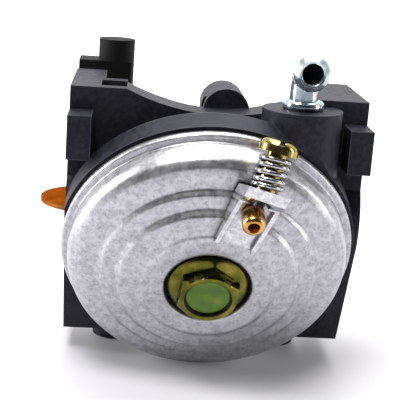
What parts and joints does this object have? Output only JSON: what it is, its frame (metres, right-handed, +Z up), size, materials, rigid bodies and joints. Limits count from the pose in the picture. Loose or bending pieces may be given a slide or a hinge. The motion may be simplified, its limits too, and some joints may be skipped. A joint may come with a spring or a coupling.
{
  "type": "float bowl carburetor",
  "caption": "Float-bowl carburetor for a small engine: flanged throat with choke and throttle butterflies, pressed bowl with drain screw, elbow fuel inlet.",
  "frame": {"origin": "centre of the engine-side register, on the throat axis at the flange's face", "axes": "+X along the throat towards the engine, +Z up as the carburetor stands, -Y the side that the float bowl looks towards"},
  "size_m": [0.0703, 0.0692, 0.074],
  "materials": {
    "casting": "fine sand-blasted die casting, dark grey",
    "zinc_steel": "clear zinc plate, softly mottled",
    "yellow_zinc": "yellow passivated zinc",
    "blue_zinc": "bright blue-white zinc",
    "brass": "turned",
    "copper_brass": "stamped sheet",
    "spring_steel": "drawn wire",
    "shaft_steel": "ground",
    "black_plastic": "moulded, fine grain",
    "float_foam": "closed-cell moulding",
    "gasket": "matt",
    "fibre": "pressed fibre"
  },
  "bodies": {
    "casting_group": {"carburetor_body": "casting", "float_bowl": "zinc_steel", "bowl_gasket": "gasket", "bowl_bolt": "yellow_zinc", "bolt_washer": "fibre", "drain_block": "zinc_steel", "drain_nozzle": "brass", "drain_spring": "spring_steel", "fuel_inlet_elbow": "blue_zinc", "choke_shaft_seal": "gasket", "throttle_shaft_seal": "gasket", "idle_speed_spring": "spring_steel", "float_pin": "shaft_steel", "inlet_seat": "brass", "main_jet": "brass", "emulsion_tube": "brass"},
    "choke": {"choke_shaft": "shaft_steel", "choke_plate": "copper_brass", "choke_plate_screws": "yellow_zinc", "choke_lever": "black_plastic", "choke_lever_screw": "yellow_zinc"},
    "throttle": {"throttle_shaft": "shaft_steel", "throttle_plate": "copper_brass", "throttle_plate_screws": "yellow_zinc", "throttle_lever": "zinc_steel", "throttle_lever_screw": "yellow_zinc"},
    "float_arm": {"float": "float_foam"},
    "needle": {"inlet_needle": "shaft_steel"},
    "drain_plug": {"drain_screw": "yellow_zinc"},
    "idle_stop": {"idle_speed_screw": "yellow_zinc"},
    "pilot": {"pilot_screw": "brass"}
  },
  "joints": [
    {"name": "choke_turn", "type": "hinge", "parent": "casting_group", "child": "choke", "pos_m": [-0.0594, 0, 0], "axis": [0, 1, 0], "range_deg": [0, 78]},
    {"name": "throttle_turn", "type": "hinge", "parent": "casting_group", "child": "throttle", "pos_m": [-0.017, 0, 0], "axis": [0, -1, 0], "range_deg": [0, 75]},
    {"name": "float_swing", "type": "hinge", "parent": "casting_group", "child": "float_arm", "pos_m": [-0.033, -0.02759, 0.01516], "axis": [1, 0, 0], "range_deg": [0, 3.5]},
    {"name": "needle_slide", "type": "slide", "parent": "casting_group", "child": "needle", "axis": [0, 0.9063, 0.4226], "range_m": [0, 0.0005]},
    {"name": "drain_screw_turn", "type": "hinge", "parent": "casting_group", "child": "drain_plug", "pos_m": [-0.02412, -0.03596, 0.01253], "axis": [0.2567, 0.2085, 0.9437], "range_deg": [0, 720]},
    {"name": "idle_screw_turn", "type": "hinge", "parent": "casting_group", "child": "idle_stop", "pos_m": [-0.034, 0.0216, -0.01], "axis": [1, 0, 0], "range_deg": [-360, 720]},
    {"name": "pilot_screw_turn", "type": "hinge", "parent": "casting_group", "child": "pilot", "pos_m": [-0.0215, 0.006, 0.017], "axis": [0, 0, 1], "range_deg": [0, 1080]}
  ],
  "couplings": [
    {"joint": "needle_slide", "follows": "float_swing", "m_per_rad": 0.008}
  ]
}
